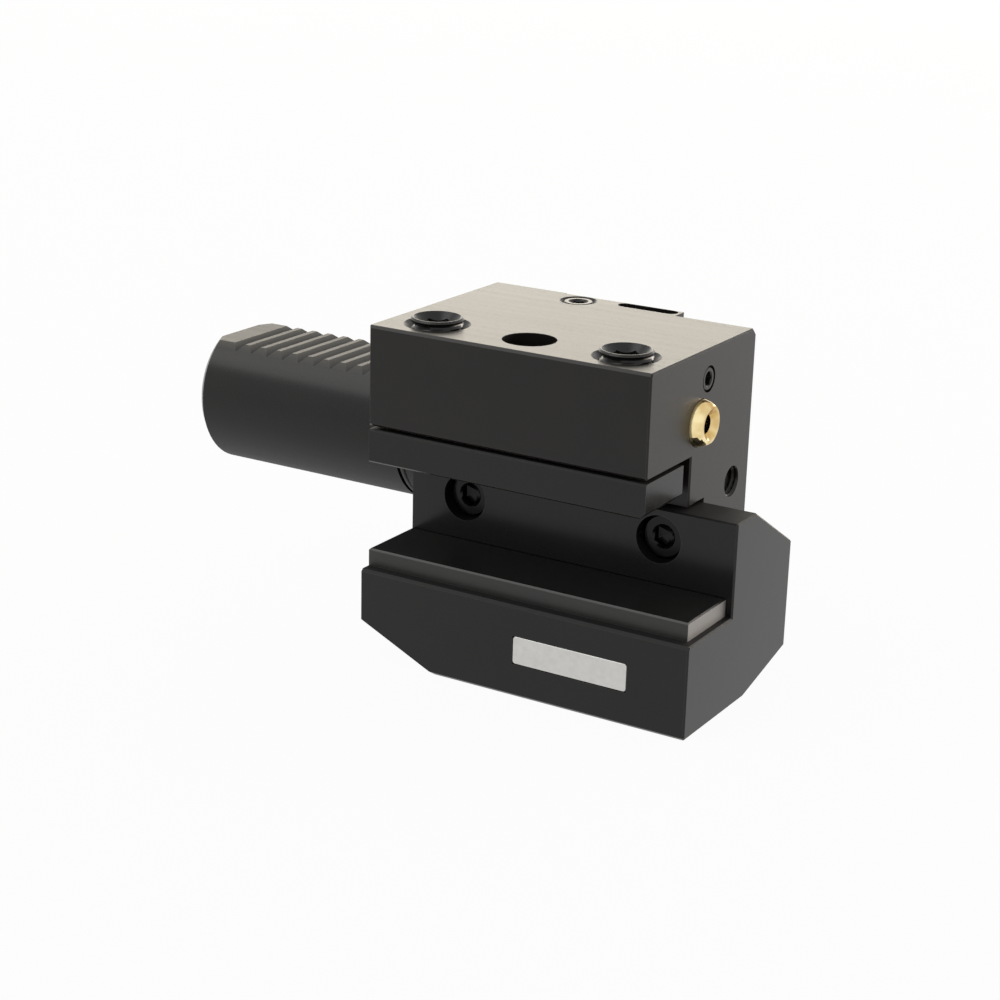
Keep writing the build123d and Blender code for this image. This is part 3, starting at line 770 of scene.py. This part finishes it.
def spring_coil():
    """A round wire along a helix: at each share of its length the centre turns about Z and rises evenly.

    Each ring of the wire lies across the helix, on the helix's outward direction and on the cross product of
    its tangent and that direction."""
    share = np.linspace(0.0, 1.0, SPRING_STEPS)[:, None]
    turn = share * SPRING_TURNS * 2 * math.pi
    flat = np.zeros_like(turn)
    outer = np.stack([np.cos(turn), np.sin(turn), flat], axis=-1)
    start = SPRING_WIRE + SPRING_GAP
    rise = SPRING_LENGTH - 2 * start
    lift = rise / (SPRING_TURNS * 2 * math.pi)
    tangent = np.stack([-SPRING_RADIUS * np.sin(turn), SPRING_RADIUS * np.cos(turn), flat + lift], axis=-1)
    side = np.cross(tangent / math.hypot(SPRING_RADIUS, lift), outer)
    middle = SPRING_RADIUS * outer + np.stack([flat, flat, start + rise * share], axis=-1)
    wire = around(SPRING_WIRE_SIDES)[None, :, None]
    rows = middle + SPRING_WIRE * (np.cos(wire) * outer + np.sin(wire) * side)
    count, sides = rows.shape[:2]
    faces = band_faces(count, sides)[:, ::-1].tolist()
    faces += [list(range(sides)), list(range(count * sides - 1, (count - 1) * sides - 1, -1))]
    return (rows.reshape(-1, 3) + np.array(SPRING_FOOT)) * MM, faces


def outward(points, faces):
    """The faces, all turned round if the skin's signed volume is negative."""
    volume = 0.0
    for size in {len(face) for face in faces}:
        some = points[np.array([face for face in faces if len(face) == size])]
        for corner in range(1, size - 1):
            volume += np.einsum("ij,ij->", some[:, 0], np.cross(some[:, corner], some[:, corner + 1]))
    return faces if volume > 0 else [face[::-1] for face in faces]


def add_piece(name, skin, material, body, node=None):
    """A new piece that rides on a body, with the given material, and stands for a CAD node if one is named.
    """
    points, faces = skin
    piece = new_piece(name, points, outward(points, faces), material)
    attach(piece, body)
    if node:
        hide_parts(node)
    return piece


def facing_out(skin, place, inward):
    """A skin drawn along its own Z, moved so that this Z points out of the hole at the place."""
    points, faces = skin
    return turned(points, place, tuple(-part for part in inward)), faces


def add_screws_and_rings():
    """Detailed screws and rings in place of the plain CAD ones, and the thread in a hole's mouth."""
    screw = MATERIALS["black_screw_steel"]
    for node, (place, inward, *sizes, body) in SET_SCREWS.items():
        skin = facing_out(set_screw(*sizes), place, inward)
        add_piece(node + "_threaded", skin, screw, body, node)
    for node, (place, inward, *sizes, body) in CAP_SCREWS.items():
        skin = facing_out(cap_screw(*sizes), place, inward)
        # Screws in recesses get the near-black finish with painted shade
        finish = screw if body == "bar" else RECESS_SHADE_SCREW
        add_piece(node + "_knurled", skin, finish, body, node)
    for name, (place, inward, *sizes) in HOLE_THREADS.items():
        skin = facing_out(hole_thread(*sizes), place, inward)
        add_piece(name, skin, MATERIALS["black_oxide_steel"], "holder")
    for node, (place, axis, *sizes) in RINGS.items():
        points, faces = ring_seal(*sizes)
        skin = turned(points, place, axis), faces
        add_piece(node + "_round", skin, MATERIALS["rubber"], "holder", node)


def add_nozzle():
    """The turned nozzle, which rides on its own body."""
    points, faces = nozzle_ball()
    skin = turned(points, NOZZLE_CENTRE, (1, 0, 0)), faces
    add_piece("turned_nozzle", skin, MATERIALS["brass"], "nozzle", "coolant_nozzle")


def add_spring():
    """The spring under the retaining screw's head, on a mesh of its own."""
    wire = MATERIALS["spring_steel"]
    coil = add_piece("spring_coil", spring_coil(), wire, "holder", "retaining_spring")
    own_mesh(coil)


def floor_material():
    """Pale paper, which camera and mirror rays see nearly white, with the object's soft shadow kept."""
    material, tree, shader, coordinates = new_material("pale_paper")
    shader.inputs["Roughness"].default_value = PAPER_ROUGHNESS
    grain = noise(tree, coordinates, PAPER_SCALE, 2.0)
    link(tree, mix_colours(tree, grain, PAPER_DARK, PAPER_PALE), shader.inputs["Base Color"])
    white = tree.nodes.new("ShaderNodeEmission")
    white.inputs["Color"].default_value = WHITE
    share = math_node(tree, "MULTIPLY", background_rays(tree), FLOOR_WHITE)
    mixed = tree.nodes.new("ShaderNodeMixShader")
    link(tree, share, mixed.inputs[0])
    link(tree, shader.outputs[0], mixed.inputs[1])
    link(tree, white.outputs[0], mixed.inputs[2])
    link(tree, mixed.outputs[0], tree.nodes["Material Output"].inputs["Surface"])
    return material


def background_rays(tree):
    """One for camera, mirror and glass rays, and nought for the rest."""
    path = tree.nodes.new("ShaderNodeLightPath")
    seen = math_node(tree, "MAXIMUM", path.outputs["Is Camera Ray"], path.outputs["Is Glossy Ray"])
    return math_node(tree, "MAXIMUM", seen, path.outputs["Is Transmission Ray"])


def floor():
    """A wide flat floor as a two-parameter grid: x and y run over a square at one height."""
    steps = np.linspace(-FLOOR_SIZE / 2, FLOOR_SIZE / 2, FLOOR_STEPS)
    across, along = np.meshgrid(steps, steps, indexing="ij")
    points = np.stack([across, along, np.full_like(across, FLOOR_Z)], axis=-1).reshape(-1, 3)
    count = len(steps)
    corner = (np.arange(count - 1)[:, None] * count + np.arange(count - 1)[None, :]).ravel()
    faces = np.stack([corner, corner + count, corner + count + 1, corner + 1], axis=1)
    new_piece("floor", points, faces.tolist(), floor_material())


def softbox(name, place, target, width, height, radiance, colour):
    """A large soft lamp: its power follows from the brightness of its face."""
    lamp = bpy.data.lights.new(name, "AREA")
    lamp.shape = "RECTANGLE"
    lamp.size = width
    lamp.size_y = height
    lamp.energy = radiance * math.pi * width * height
    lamp.color = colour
    stand = bpy.data.objects.new(name, lamp)
    stand.location = place
    stand.rotation_euler = (Vector(target) - Vector(place)).to_track_quat("-Z", "Y").to_euler()
    bpy.context.scene.collection.objects.link(stand)


def world():
    """White where a camera, mirror or glass ray leaves the scene, and a plain grey for the rest."""
    sky = bpy.data.worlds.new("studio")
    bpy.context.scene.world = sky
    sky.use_nodes = True
    tree = sky.node_tree
    back = tree.nodes["Background"]
    back.inputs["Color"].default_value = WHITE
    strength = math_node(tree, "MULTIPLY_ADD", background_rays(tree), 1.0 - SKY_STRENGTH, SKY_STRENGTH)
    link(tree, strength, back.inputs["Strength"])


def camera():
    """The camera at the photograph's angle."""
    data = bpy.data.cameras.new("camera")
    data.sensor_width = CAMERA_SENSOR
    data.lens = CAMERA_LENS
    data.shift_x, data.shift_y = CAMERA_SHIFT
    data.clip_start = CAMERA_NEAR
    data.clip_end = CAMERA_FAR
    eye = bpy.data.objects.new("camera", data)
    eye.location = CAMERA_PLACE
    turn = CAMERA_LOOK.to_track_quat("-Z", "Y").to_matrix().to_4x4()
    eye.rotation_euler = (turn @ Matrix.Rotation(CAMERA_ROLL, 4, "Z")).to_euler()
    bpy.context.scene.collection.objects.link(eye)
    bpy.context.scene.camera = eye


dress_cad_nodes()
add_screws_and_rings()
add_nozzle()
add_spring()
add_piece("front_plate", blank_plate(), PLATE_METAL, "holder")
floor()
world()
camera()
for name, settings in SOFTBOXES.items():
    softbox(name, *settings)

bpy.context.scene.view_settings.view_transform = "Standard"
